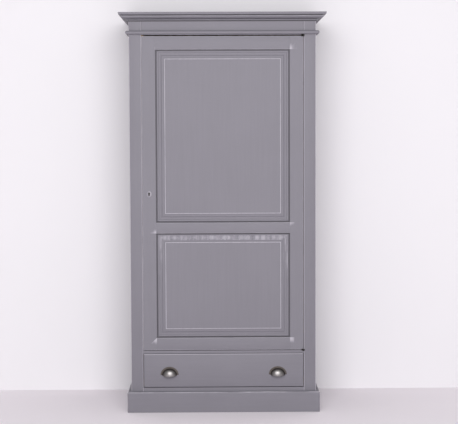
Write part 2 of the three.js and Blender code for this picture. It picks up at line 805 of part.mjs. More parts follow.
function addPulls() {
  for (const [side, sign] of sides) {
    piece("drawer", `cup_pull_${side}`, pullGeometry((sign * pullSpacing) / 2), pewter);
  }
}

addSides();
addPosts();
addFrameRails();
addFloorBoard();
addTopBoard();
addBackBoards();
addMoulding("cornice", corniceProfile());
addMoulding("bead", beadProfile());
addMoulding("plinth", plinthProfile());
addFittings();
addDoorStop();
addDrawerTrack();
addDoorFrame();
addDoorPanels();
addLock();
addHinges();
addDrawer();
addPulls();

export default wardrobe;
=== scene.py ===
"""Looks for a painted one-door wardrobe with a drawer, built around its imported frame."""

from __future__ import annotations

import logging
import math
from collections.abc import Callable, Iterator, Sequence
from contextlib import contextmanager
from dataclasses import dataclass, field
from enum import Enum

import bmesh
import bpy
from mathutils import Matrix, Vector

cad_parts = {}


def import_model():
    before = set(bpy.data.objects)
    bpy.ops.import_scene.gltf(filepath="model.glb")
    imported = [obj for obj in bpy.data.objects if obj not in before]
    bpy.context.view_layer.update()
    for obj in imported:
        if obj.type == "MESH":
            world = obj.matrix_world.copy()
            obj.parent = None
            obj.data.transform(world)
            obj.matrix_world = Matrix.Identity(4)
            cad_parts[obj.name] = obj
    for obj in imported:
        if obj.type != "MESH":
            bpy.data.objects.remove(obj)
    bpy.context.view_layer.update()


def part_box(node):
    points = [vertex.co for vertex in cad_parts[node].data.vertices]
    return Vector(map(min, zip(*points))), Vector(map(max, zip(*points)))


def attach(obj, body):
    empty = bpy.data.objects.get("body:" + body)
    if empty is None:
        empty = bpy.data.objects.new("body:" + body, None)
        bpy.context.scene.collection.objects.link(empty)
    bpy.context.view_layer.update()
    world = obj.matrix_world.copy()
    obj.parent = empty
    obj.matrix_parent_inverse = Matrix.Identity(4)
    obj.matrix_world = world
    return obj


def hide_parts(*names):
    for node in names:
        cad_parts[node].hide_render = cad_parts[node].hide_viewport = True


Piece = bpy.types.Object
Material = bpy.types.Material
Socket = bpy.types.NodeSocket

LOG = logging.getLogger("wardrobe")
MM = 0.001
PLAY = 0.3 * MM  # how near a point counts as on a face, and the gap between butting pieces
GAP_SHADE = 0.9  # how dark the painted shade in a narrow gap is
PAST = 50 * MM  # how far past a face a size reaches when its edge isn't to count


class Side(Enum):
    """A face of a board, as an axis and a direction."""

    LEFT = (0, -1)
    RIGHT = (0, 1)
    FRONT = (1, -1)
    BACK = (1, 1)
    BOTTOM = (2, -1)
    TOP = (2, 1)


class Grain(Enum):
    """The way a board's grain and brush strokes run, as an axis number."""

    ACROSS = 0
    DEEP = 1
    UPRIGHT = 2


class Pick(Enum):
    """What an edit-mode selection is made of, as Blender's select-mode triple."""

    EDGES = (False, True, False)
    FACES = (False, False, True)


@dataclass(frozen=True)
class Box:
    """A box in the frame, in metres."""

    low: Vector
    high: Vector

    @classmethod
    def of(cls, node: str) -> Box:
        """Give the box of a CAD node."""
        return cls(*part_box(node))

    @classmethod
    def between(cls, x: Sequence[float], y: Sequence[float], z: Sequence[float]) -> Box:
        """Give the box between pairs of x, y and z."""
        return cls(Vector((x[0], y[0], z[0])), Vector((x[1], y[1], z[1])))

    @property
    def size(self) -> Vector:
        """Give the box's three lengths."""
        return self.high - self.low

    @property
    def middle(self) -> Vector:
        """Give the box's middle."""
        return (self.low + self.high) / 2

    def grown(self, by: float) -> Box:
        """Give the box with every face moved out by a distance in metres."""
        margin = Vector((by, by, by))
        return Box(self.low - margin, self.high + margin)

    def stretched(self, sides: Sequence[Side], by: float) -> Box:
        """Give the box with some faces moved out.

        Args:
            sides: The faces that move.
            by: How far, in metres.

        Returns:
            The stretched box.
        """
        low, high = self.low.copy(), self.high.copy()
        for side in sides:
            axis, way = side.value
            (low if way < 0 else high)[axis] += way * by
        return Box(low, high)

    def spanning(self, axis: int, low: float, high: float) -> Box:
        """Give the box with its reach along one axis replaced.

        Args:
            axis: The axis's number.
            low: Where it now starts.
            high: Where it now ends.

        Returns:
            The changed box.
        """
        start, end = self.low.copy(), self.high.copy()
        start[axis], end[axis] = low, high
        return Box(start, end)

    def on(self, side: Side, point: Vector) -> bool:
        """Tell whether a point lies on one of the box's faces."""
        axis, way = side.value
        return abs(point[axis] - (self.low if way < 0 else self.high)[axis]) < PLAY


NO_BOARD = Box(Vector((-9, -9, -9)), Vector((9, 9, 9)))


class Bench:
    """The maker's bench: the hand tools that every new piece is shaped with."""

    @staticmethod
    def put_down() -> None:
        """Leave edit mode and deselect everything."""
        if bpy.context.object and bpy.context.object.mode != "OBJECT":
            bpy.ops.object.mode_set(mode="OBJECT")
        bpy.ops.object.select_all(action="DESELECT")

    @staticmethod
    def pick_up(piece: Piece) -> None:
        """Make one piece the only selected and active one."""
        Bench.put_down()
        piece.select_set(True)
        bpy.context.view_layer.objects.active = piece

    @staticmethod
    def settle(name: str) -> Piece:
        """Name the new primitive and put its size and place in its mesh."""
        piece = bpy.context.object
        piece.name = piece.data.name = name
        bpy.ops.object.transform_apply(location=True, rotation=True, scale=True)
        return piece

    @staticmethod
    def block(name: str, box: Box) -> Piece:
        """Add a cube at a box's size and place.

        Args:
            name: The piece's name.
            box: The space it fills.

        Returns:
            The piece.
        """
        Bench.put_down()
        bpy.ops.mesh.primitive_cube_add(size=1, location=box.middle, scale=box.size)
        return Bench.settle(name)

    @staticmethod
    @contextmanager
    def editing(piece: Piece, pick: Pick) -> Iterator[None]:
        """Hold a piece in edit mode with nothing selected.

        Args:
            piece: The piece to edit.
            pick: What the selection is made of.
        """
        Bench.pick_up(piece)
        bpy.ops.object.mode_set(mode="EDIT")
        bpy.context.tool_settings.mesh_select_mode = pick.value
        bpy.ops.mesh.select_all(action="DESELECT")
        yield
        bpy.ops.object.mode_set(mode="OBJECT")

    @staticmethod
    def choose(piece: Piece, pick: Pick, wanted: Callable[..., bool]) -> int:
        """Select the edges or faces that pass a test, and nothing else.

        Args:
            piece: A piece in edit mode.
            pick: What to select.
            wanted: The test on a mesh element.

        Returns:
            How many were selected.
        """
        bpy.context.tool_settings.mesh_select_mode = pick.value
        bpy.ops.mesh.select_all(action="DESELECT")
        mesh = bmesh.from_edit_mesh(piece.data)
        mesh.normal_update()
        found = [e for e in (mesh.edges if pick is Pick.EDGES else mesh.faces) if wanted(e)]
        for element in found:
            element.select_set(True)
        bmesh.update_edit_mesh(piece.data)
        return len(found)

    @staticmethod
    def slice(point: Sequence[float], way: Sequence[float], clear: bool = False, fill: bool = False) -> None:
        """Slice the whole piece in edit mode along a plane.

        Args:
            point: A point of the plane.
            way: The plane's normal.
            clear: Whether to cut away what lies beyond it.
            fill: Whether to close the cut.
        """
        bpy.ops.mesh.select_all(action="SELECT")
        bpy.ops.mesh.bisect(plane_co=point, plane_no=way, use_fill=fill, clear_outer=clear)

    @staticmethod
    def cut(piece: Piece, cutter: Piece) -> None:
        """Cut a shape out of a piece and throw the cutter away."""
        Bench.pick_up(piece)
        modifier = piece.modifiers.new("cut", "BOOLEAN")
        modifier.operation = "DIFFERENCE"
        modifier.solver = "EXACT"
        modifier.object = cutter
        bpy.ops.object.modifier_apply(modifier=modifier.name)
        bpy.data.objects.remove(cutter)

    @staticmethod
    def ease(piece: Piece, width: float, segments: int = 2, degrees: float = 40) -> None:
        """Round every sharp edge of a piece with an applied Bevel.

        Args:
            piece: The piece.
            width: The bevel's width, in metres.
            segments: Its number of segments.
            degrees: The smallest angle that counts as sharp.
        """
        Bench.pick_up(piece)
        modifier = piece.modifiers.new("ease", "BEVEL")
        modifier.width, modifier.segments = width, segments
        modifier.limit_method, modifier.angle_limit = "ANGLE", math.radians(degrees)
        bpy.ops.object.modifier_apply(modifier=modifier.name)

    @staticmethod
    def smooth(piece: Piece, degrees: float = 35) -> None:
        """Shade a piece smooth except across sharp angles."""
        Bench.pick_up(piece)
        bpy.ops.object.shade_smooth_by_angle(angle=math.radians(degrees))


@dataclass
class Tree:
    """A material and the nodes that make it, added one at a time."""

    name: str
    material: Material = field(init=False)

    def __post_init__(self) -> None:
        """Start the material with an empty tree."""
        self.material = bpy.data.materials.new(self.name)
        self.material.use_nodes = True
        self.material.node_tree.nodes.clear()

    def node(self, kind: str, settings: dict | None = None, **inputs: object) -> bpy.types.Node:
        """Add a node.

        Args:
            kind: The node's type, without the ShaderNode in front.
            settings: Attributes to set on the node.
            **inputs: Values or sockets for its inputs, by name; in0, in1 and so on by place.

        Returns:
            The node.
        """
        made = self.material.node_tree.nodes.new("ShaderNode" + kind)
        for key, value in (settings or {}).items():
            setattr(made, key, value)
        for key, value in inputs.items():
            place = int(key[2:]) if key.startswith("in") and key[2:].isdigit() else key.replace("_", " ")
            socket = made.inputs[place]
            if isinstance(value, Socket):
                self.material.node_tree.links.new(value, socket)
            else:
                socket.default_value = value
        return made

    def math(self, operation: str, *values: object) -> Socket:
        """Add a maths node and give its result.

        Args:
            operation: The node's operation.
            *values: Its numbers or sockets.

        Returns:
            The result's socket.
        """
        inputs = {f"in{i}": v for i, v in enumerate(values)}
        return self.node("Math", {"operation": operation}, **inputs).outputs[0]

    def spread(self, value: object, low: float, high: float, to: tuple = (0.0, 1.0)) -> Socket:
        """Map a value from one span to another, smoothly and held at the ends.

        Args:
            value: The socket to map.
            low: The start of its span.
            high: The end of its span.
            to: The two values that the ends give.

        Returns:
            The result's socket.
        """
        made = self.node("MapRange", {"interpolation_type": "SMOOTHSTEP"}, Value=value,
                         From_Min=low, From_Max=high, To_Min=to[0], To_Max=to[1])
        return made.outputs[0]

    def mix(self, share: object, first: object, second: object) -> Socket:
        """Mix two colours.

        Args:
            share: How much of the second.
            first: A colour or socket.
            second: A colour or socket.

        Returns:
            The mixed colour's socket.
        """
        made = self.node("Mix", {"data_type": "RGBA"}, in0=share, in6=first, in7=second)
        return made.outputs[2]

    def noise(self, where: object, scale: float, detail: float = 3, roughness: float = 0.5) -> Socket:
        """Add a noise texture and give its value.

        Args:
            where: The coordinates' socket.
            scale: The noise's scale.
            detail: Its detail.
            roughness: Its roughness.

        Returns:
            The value's socket.
        """
        made = self.node("TexNoise", Vector=where, Scale=scale, Detail=detail, Roughness=roughness)
        return made.outputs[0]

    def place(self, scale: Sequence[float] = (1, 1, 1), shift: Sequence[float] = (0, 0, 0)) -> Socket:
        """Give Object coordinates, scaled and shifted.

        Args:
            scale: The scale along each axis.
            shift: The shift along each axis.

        Returns:
            The coordinates' socket.
        """
        where = self.node("TexCoord").outputs["Object"]
        return self.node("Mapping", Vector=where, Location=shift, Scale=scale).outputs[0]

    def attribute(self, name: str, output: str) -> Socket:
        """Give one of a mesh attribute's outputs."""
        return self.node("Attribute", {"attribute_name": name}).outputs[output]

    def finish(self, bump: object, strength: float, depth: float, **shader: object) -> Material:
        """Close the tree with a bumped Principled shader.

        Args:
            bump: The height's socket.
            strength: The bump's strength.
            depth: The bump's height, in metres.
            **shader: Values or sockets for the shader's inputs.

        Returns:
            The finished material.
        """
        raised = self.node("Bump", Strength=strength, Distance=depth, Height=bump).outputs[0]
        principled = self.node("BsdfPrincipled", Normal=raised, **shader)
        output = self.node("OutputMaterial")
        self.material.node_tree.links.new(principled.outputs[0], output.inputs[0])
        return self.material


def along(grain: Grain, lengthwise: float, crosswise: float) -> tuple[float, ...]:
    """Give the three scales of a pattern drawn out along the grain.

    Args:
        grain: The grain's way.
        lengthwise: The scale along it.
        crosswise: The scale across it.

    Returns:
        The scales along X, Y and Z.
    """
    return tuple(lengthwise if axis == grain.value else crosswise for axis in range(3))


@dataclass(frozen=True)
class Paint:
    """Brushed satin furniture paint, rubbed pale along its arrises, with a near-black painted shade in its
    gaps and hollows and a pale painted highlight on the lower panel's top slope.
    """

    slot: str = "painted_wood"
    colour: tuple[float, ...] = (0.190, 0.183, 0.208, 1)
    shade: tuple[float, ...] = (0.180, 0.173, 0.197, 1)
    rubbed: tuple[float, ...] = (0.42, 0.405, 0.445, 1)
    # near-black colour of the painted shade in gaps, quirks and hollows
    painted_shade: tuple[float, ...] = (0.045, 0.042, 0.048, 1)
    edge_reach: float = 4.0 * MM

    def material(self, grain: Grain) -> Material:
        """Give the paint brushed one way, made on first use.

        Args:
            grain: The way its strokes run.

        Returns:
            The material.
        """
        name = f"satin_paint_{grain.name.lower()}"
        if name in bpy.data.materials:
            return bpy.data.materials[name]
        tree = Tree(name)
        patches = tree.noise(tree.place(), 3.5, 2)
        strokes = tree.noise(tree.place(along(grain, 5, 120)), 1.0, 4, 0.6)
        bristles = tree.noise(tree.place(along(grain, 18, 900)), 1.0, 2, 0.5)
        rub = tree.noise(tree.place(along(grain, 9, 60), (3.1, 1.7, 0.4)), 1.0, 4, 0.65)
        own_edge = tree.math("MULTIPLY", self.edge(tree), tree.attribute("handling", "Fac"))
        wear = tree.math("MAXIMUM", own_edge, tree.attribute("arris", "Fac"))
        # the pale mix is real wear, and on the lower panel's top slope a painted highlight
        wear_and_sheen = tree.spread(tree.math("MULTIPLY_ADD", rub, 0.9, wear), 0.95, 1.45)
        tone = tree.spread(tree.math("MULTIPLY_ADD", strokes, 0.5, tree.math("MULTIPLY", patches, 0.5)),
                           0.35, 0.65)
        # negative arris values mix in the painted shade colour: shade painted into gaps, quirks and hollows
        shade_share = tree.math("MULTIPLY", tree.attribute("arris", "Fac"), -1.0)
        painted = tree.mix(tree.spread(shade_share, 0.0, 1.0), tree.mix(tone, self.shade, self.colour), self.painted_shade)
        gloss = tree.math("MULTIPLY_ADD", strokes, 0.10, 0.50)
        height = tree.math("MULTIPLY_ADD", bristles, 0.35, strokes)
        return tree.finish(height, 0.30, 0.03 * MM, Base_Color=tree.mix(wear_and_sheen, painted, self.rubbed),
                           Specular_IOR_Level=0.35, Roughness=tree.math("MULTIPLY_ADD", wear_and_sheen, 0.15, gloss))

    def edge(self, tree: Tree) -> Socket:
        """Give how near a spot is to an edge of its own board.

        On a board's surface the least of the three distances to its faces is nothing,
        and the middle one is the distance to the nearest edge.

        Args:
            tree: The material's tree.

        Returns:
            A value that is 1 on the edge and 0 away from it.
        """
        offset = tree.node("VectorMath", {"operation": "SUBTRACT"},
                           in0=tree.place(), in1=tree.attribute("board_middle", "Vector")).outputs[0]
        reach = tree.node("VectorMath", {"operation": "ABSOLUTE"}, in0=offset).outputs[0]
        inward = tree.node("VectorMath", {"operation": "SUBTRACT"},
                           in0=tree.attribute("board_half", "Vector"), in1=reach).outputs[0]
        x, y, z = tree.node("SeparateXYZ", Vector=inward).outputs
        upper = tree.math("MAXIMUM", x, y)
        lower = tree.math("MINIMUM", x, y)
        middle = tree.math("MAXIMUM", lower, tree.math("MINIMUM", upper, z))
        return tree.spread(middle, 0.0, self.edge_reach, (1.0, 0.0))


@dataclass(frozen=True)
class Pine:
    """Waxed, unpainted pine."""

    slot: str = "bare_wood"
    early: tuple[float, ...] = (0.60, 0.42, 0.235, 1)
    late: tuple[float, ...] = (0.40, 0.235, 0.105, 1)

    def material(self, grain: Grain) -> Material:
        """Give the pine with its grain one way, made on first use.

        Args:
            grain: The grain's way.

        Returns:
            The material.
        """
        name = f"waxed_pine_{grain.name.lower()}"
        if name in bpy.data.materials:
            return bpy.data.materials[name]
        tree = Tree(name)
        where = tree.place(along(grain, 0.55, 9))
        sway = tree.noise(where, 1.0, 2)
        rings = tree.node("TexWave", {"bands_direction": "DIAGONAL"}, Vector=where, Scale=1.6,
                          Distortion=7.0, Detail=3.0, Detail_Scale=0.8).outputs[1]
        pores = tree.noise(tree.place(along(grain, 14, 700)), 1.0, 3)
        banded = tree.math("MULTIPLY_ADD", rings, 0.6, tree.math("MULTIPLY", sway, 0.5))
        tint = tree.spread(banded, 0.25, 0.95)
        streaked = tree.math("MULTIPLY_ADD", pores, 0.35, tree.math("MULTIPLY", tint, 0.75))
        height = tree.math("MULTIPLY_ADD", pores, 0.5, rings)
        return tree.finish(height, 0.3, 0.1 * MM, Base_Color=tree.mix(streaked, self.early, self.late),
                           Roughness=tree.math("MULTIPLY_ADD", pores, 0.2, 0.42))


@dataclass(frozen=True)
class Pewter:
    """Dark cast metal, polished by hands where it swells."""

    slot: str = "pewter"
    patina: tuple[float, ...] = (0.085, 0.075, 0.068, 1)
    polished: tuple[float, ...] = (0.27, 0.26, 0.255, 1)

    def material(self) -> Material:
        """Give the metal, made on first use."""
        name = "aged_pewter"
        if name in bpy.data.materials:
            return bpy.data.materials[name]
        tree = Tree(name)
        cloud = tree.noise(tree.place(), 60, 5, 0.6)
        grit = tree.noise(tree.place((1, 1, 1), (0.3, 0.1, 0.2)), 900, 2)
        swell = tree.attribute("swell", "Fac")
        bright = tree.spread(tree.math("MULTIPLY_ADD", cloud, 0.35, swell), 0.35, 1.05)
        rough = tree.math("MULTIPLY_ADD", cloud, 0.16, tree.math("MULTIPLY_ADD", bright, -0.06, 0.36))
        height = tree.math("MULTIPLY_ADD", grit, 0.3, cloud)
        return tree.finish(height, 0.25, 0.15 * MM, Base_Color=tree.mix(bright, self.patina, self.polished),
                           Metallic=1.0, Roughness=rough)


@dataclass(frozen=True)
class Steel:
    """Blackened iron for the hinges, lock and sockets."""

    slot: str = "steel"
    bright: tuple[float, ...] = (0.070, 0.065, 0.060, 1)
    dull: tuple[float, ...] = (0.030, 0.028, 0.026, 1)

    def material(self) -> Material:
        """Give the iron, made on first use."""
        name = "blackened_iron"
        if name in bpy.data.materials:
            return bpy.data.materials[name]
        tree = Tree(name)
        drawn = tree.noise(tree.place((40, 900, 900)), 1.0, 3)
        bloom = tree.noise(tree.place(), 25, 4)
        tone = tree.spread(tree.math("MULTIPLY_ADD", drawn, 0.4, tree.math("MULTIPLY", bloom, 0.6)), 0.3, 0.7)
        return tree.finish(drawn, 0.2, 0.05 * MM, Base_Color=tree.mix(tone, self.bright, self.dull),
                           Metallic=1.0, Roughness=tree.math("MULTIPLY_ADD", tone, 0.15, 0.5))


PAINT = Paint()
PINE = Pine()
PEWTER = Pewter()
STEEL = Steel()


def dress(piece: Piece, material: Material) -> None:
    """Give a piece one material in its only slot."""
    piece.data.materials.clear()
    piece.data.materials.append(material)


def mark(piece: Piece, name: str, value_at: Callable[[Vector], float]) -> None:
    """Store a number on every point of a piece.

    Args:
        piece: The piece.
        name: The attribute's name.
        value_at: Gives the number at a point.
    """
    layer = piece.data.attributes.new(name, "FLOAT", "POINT")
    layer.data.foreach_set("value", [value_at(v.co) for v in piece.data.vertices])


def mark_board(piece: Piece, box: Box = NO_BOARD, handling: float = 1.0) -> None:
    """Store the board that a piece is, for the wear along its edges, on every point.

    Args:
        piece: The piece.
        box: The board's box; one far larger than the piece for no wear of this kind.
        handling: How much its edges have been rubbed.
    """
    mark(piece, "handling", lambda point: handling)
    for name, vector in (("board_middle", box.middle), ("board_half", box.size / 2)):
        layer = piece.data.attributes.new(name, "FLOAT_VECTOR", "POINT")
        layer.data.foreach_set("vector", [c for _ in piece.data.vertices for c in vector])


def hand_in(piece: Piece, body: str, node: str, material: Material) -> None:
    """Args:
        piece: The piece.
        body: The CAD body it moves with.
        node: The CAD node that it replaces.
        material: Its material.
    """
    dress(piece, material)
    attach(piece, body)
    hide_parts(node)
    LOG.info("%s rides on %s for %s", piece.name, body, node)


@dataclass
class Board:
    """A planed board with eased arrises, made from a block."""

    node: str
    body: str
    grain: Grain
    box: Box
    square: Sequence[Side] = ()
    cuts: Sequence[Box] = ()
    ease: float = 1.4 * MM
    finish: Paint | Pine = PAINT
    handling: float = 1.0
    # sides whose front strip, inside a narrow gap, gets near-black painted shade
    kept: Sequence[Side] = ()
    shaded_in_gap: Sequence[Side] = ()
    gap_shade_depth: float = 22.0 * MM
    gap_shade_fade: float = 2.0 * MM

    def butts(self, edge: bmesh.types.BMEdge) -> bool:
        """Tell whether an edge lies on a face that butts against another board."""
        middle = (edge.verts[0].co + edge.verts[1].co) / 2
        return any(self.box.on(side, middle) for side in self.square)

    def shape(self) -> Piece:
        """Plane the block, ease it and cut its recesses."""
        piece = Bench.block(f"{self.node}_board", self.box)
        with Bench.editing(piece, Pick.EDGES):
            if Bench.choose(piece, Pick.EDGES, lambda e: not self.butts(e)):
                bpy.ops.mesh.bevel(offset=self.ease, segments=3, affect="EDGES")
        for number, box in enumerate(self.cuts):
            Bench.cut(piece, Bench.block(f"recess_{number}", box))
        return piece

    def build(self) -> None:
        """Make the board and hand it in."""
        piece = self.shape()
        self.wear(piece)
        Bench.smooth(piece)
        hand_in(piece, self.body, self.node, self.finish.material(self.grain))

    def wear(self, piece: Piece) -> None:
        """Mark the board's own box, without wear at the faces that butt or are kept, and paint shade on its
        faces inside narrow gaps.
        """
        mark_board(piece, self.box.stretched((*self.square, *self.kept), PAST), self.handling)
        for depth in (self.gap_shade_depth, self.gap_shade_depth + self.gap_shade_fade) if self.shaded_in_gap else ():
            with Bench.editing(piece, Pick.FACES):
                Bench.slice((0, self.box.low.y + depth, 0), (0, 1, 0))
        # points inside a narrow gap get a negative value: painted shade
        mark(piece, "arris", lambda point: -GAP_SHADE if self.in_gap(point) else 0.0)

    def in_gap(self, point: Vector) -> bool:
        """Tell whether a point lies in a narrow gap, on a side that gets painted shade."""
        near = point.y <= self.box.low.y + self.gap_shade_depth + self.gap_shade_fade / 2
        return near and any(self.box.on(side, point) for side in self.shaded_in_gap)


@dataclass(frozen=True)
class Step:
    """A point of a moulding's section: how far out, how high or deep, and how rubbed, with negative values
    for painted shade.
    """

    out: float
    up: float
    # positive is rubbed paint, negative is painted shade
    rub: float = 0.0


def swept(centre: tuple[float, float], radii: tuple[float, float], degrees: tuple[float, float],
          count: int, rub: float = 0.0) -> list[Step]:
    """Give the steps of an elliptical stretch of a section, in millimetres.

    Args:
        centre: Its centre, out and up.
        radii: Its two radii.
        degrees: Where it starts and ends.
        count: How many steps between.
        rub: How rubbed its middle is; a negative value paints shade.

    Returns:
        The steps, ends included.
    """
    steps = []
    for i in range(count + 1):
        share = i / count
        angle = math.radians(degrees[0] + (degrees[1] - degrees[0]) * share)
        steps.append(Step(centre[0] + radii[0] * math.cos(angle), centre[1] + radii[1] * math.sin(angle),
                          rub * math.sin(math.pi * share)))
    return steps


@dataclass
class Moulding:
    """A run of moulding, stacked up slice by slice and cut on the mitre at its corners."""

    node: str
    side: Side
    body: Box
    steps: Sequence[Step]
    spare: float = 70 * MM

    def __post_init__(self) -> None:
        """Find the face of the carcass that the run lies against."""
        self.out_axis, self.way = self.side.value
        self.run_axis = 1 - self.out_axis
        face = (self.body.low if self.way < 0 else self.body.high)[self.out_axis]
        self.back = face + self.way * PLAY

    def build(self) -> None:
        """Make the run and hand it in."""
        piece = self.lowest_slice()
        with Bench.editing(piece, Pick.FACES):
            bpy.ops.mesh.select_all(action="SELECT")
            for previous, step in zip(self.steps, self.steps[1:]):
                self.stack(previous, step)
            for point, normal in self.mitres():
                Bench.slice(point, normal, clear=True, fill=True)
            bpy.ops.mesh.select_all(action="SELECT")
            bpy.ops.mesh.remove_doubles(threshold=0.01 * MM)
            bpy.ops.mesh.normals_make_consistent(inside=False)
        mark(piece, "arris", self.rub_at)
        mark_board(piece)
        Bench.smooth(piece, 28)
        hand_in(piece, "carcass", self.node, PAINT.material(Grain(self.run_axis)))

    def lowest_slice(self) -> Piece:
        """Lay a plane at the section's foot, longer than the finished run."""
        first = self.steps[0]
        low, high = self.body.low.copy(), self.body.high.copy()
        low[self.run_axis] -= self.spare
        if self.side is Side.FRONT:
            high[self.run_axis] += self.spare
        outer = self.back + self.way * (first.out - PLAY)
        low[self.out_axis], high[self.out_axis] = sorted((self.back, outer))
        Bench.put_down()
        middle = ((low.x + high.x) / 2, (low.y + high.y) / 2, first.up)
        bpy.ops.mesh.primitive_plane_add(size=1, location=middle)
        bpy.context.object.scale = (high.x - low.x, high.y - low.y, 1)
        return Bench.settle(f"{self.node}_run")

    def stack(self, previous: Step, step: Step) -> None:
        """Raise the top face by one slice and let its outer edge out or in.

        Args:
            previous: The section's step below.
            step: The section's next step.
        """
        bpy.ops.mesh.extrude_region_move(TRANSFORM_OT_translate={"value": (0, 0, step.up - previous.up)})
        growth, fixed = [1.0, 1.0, 1.0], [0.0, 0.0, 0.0]
        growth[self.out_axis] = (step.out - PLAY) / (previous.out - PLAY)
        fixed[self.out_axis] = self.back
        bpy.ops.transform.resize(value=growth, center_override=fixed)

    def mitres(self) -> list[tuple[Vector, Vector]]:
        """Give the planes of the mitre cuts, each facing the waste."""
        low, high = self.body.low, self.body.high
        corners = {-1: Vector((low.x, low.y, 0)), 1: Vector((high.x, low.y, 0))}
        if self.side is Side.FRONT:
            return [(corner, Vector((sign, 1, 0)).normalized()) for sign, corner in corners.items()]
        gap = Vector((0, PLAY * math.sqrt(2), 0))
        return [(corners[self.way] + gap, Vector((-self.way, -1, 0)).normalized())]

    def rub_at(self, point: Vector) -> float:
        """Give how rubbed the section is at a point; negative values paint shade."""
        out = abs(point[self.out_axis] - self.back) + PLAY
        return min(self.steps, key=lambda s: abs(s.out - out) + abs(s.up - point.z)).rub


@dataclass
class Mouldings:
    """The cornice, bead and plinth that wrap the front and both sides."""

    body: Box = field(init=False)
    fascia: float = 11.5
    fascia_overhang: float = 12.0
    lean: float = 2.4
    quirk: float = 5.0
    quirk_depth: float = 7.0
    astragal: float = 3.2
    astragal_out: float = 6.4
    astragal_up: float = 7.4
    neck_out: float = 9.0
    arris: float = 1.2
    plinth_ease: float = 9.0

    def __post_init__(self) -> None:
        """Find the carcass that the mouldings wrap."""
        posts = Box.of("left_post"), Box.of("right_post")
        self.body = Box.between((posts[0].low.x, posts[1].high.x),
                                (posts[0].low.y, Box.of("left_side_panel").high.y),
                                (0, Box.of("top_board").high.z))

    def cornice(self) -> list[Step]:
        """Give the cornice's section from its foot up, in millimetres, with painted shade below and above the
        astragal, faintly on the ovolo and in the quirk.
        """
        box = Box.of("cornice_front")
        low, high = box.low.z / MM, box.high.z / MM
        reach = (self.body.low.y - box.low.y) / MM
        quirk_top, quirk_foot = high - self.fascia, high - self.fascia - self.quirk
        centre = low + self.astragal_up
        neck = centre + self.astragal
        width = reach - self.fascia_overhang - self.neck_out
        return [
            # negative rubs paint shade under the astragal, above it, faintly on the ovolo and in the quirk
            # under the fascia
            Step(1.0, low), Step(1.0, low + 0.4, -1.0), Step(1.0, centre - self.astragal, -1.0),
            *swept((self.astragal_out, centre), (self.astragal, self.astragal), (-90, 90), 12, 0.5),
            Step(self.neck_out - 6.0, neck + 0.1, -1.0), Step(self.neck_out - 6.0, neck + 1.2, -0.8),
            *swept((self.neck_out, quirk_foot - 1.0), (width, quirk_foot - 2.0 - neck), (-88, -14),
                   14, -0.12),
            Step(self.neck_out + width - 0.5, quirk_foot, 0.9),
            Step(self.neck_out + width - self.quirk_depth, quirk_foot + 0.1, -0.7),
            Step(self.neck_out + width - self.quirk_depth, quirk_top, -0.5),
            *swept((reach - self.lean - self.arris, quirk_top + self.arris), (self.arris, self.arris),
                   (-90, -15), 3),
            *swept((reach - self.arris, high - self.arris), (self.arris, self.arris), (-15, 90), 4),
        ]

    def bead(self) -> list[Step]:
        """Give the half-round bead's section from its foot up."""
        box = Box.of("bead_front")
        radius = box.size.z / MM / 2
        reach = (self.body.low.y - box.low.y) / MM
        return swept((reach - radius, box.middle.z / MM), (radius, radius), (-90, 90), 20, 0.35)

    def plinth(self) -> list[Step]:
        """Give the plinth's section from the floor up."""
        box = Box.of("plinth_front")
        reach = (self.body.low.y - box.low.y) / MM
        high, ease = box.high.z / MM, self.plinth_ease
        return [
            Step(reach - 1.0, 0), Step(reach, 1.0, 0.4), Step(reach, 3.0),
            Step(reach, high - ease - 3.0),
            *swept((reach - ease, high - ease), (ease, ease), (0, 90), 8, 0.75),
        ]

    def wrap(self, name: str, section: Sequence[Step]) -> None:
        """Run a section along the front and both sides.

        Args:
            name: The moulding's name.
            section: Its steps, in millimetres.
        """
        steps = [Step(s.out * MM, s.up * MM, s.rub) for s in section]
        for side in (Side.FRONT, Side.LEFT, Side.RIGHT):
            Moulding(f"{name}_{side.name.lower()}", side, self.body, steps).build()

    def build(self) -> None:
        """Make the three mouldings."""
        self.wrap("cornice", self.cornice())
        self.wrap("bead", self.bead())
        self.wrap("plinth", self.plinth())


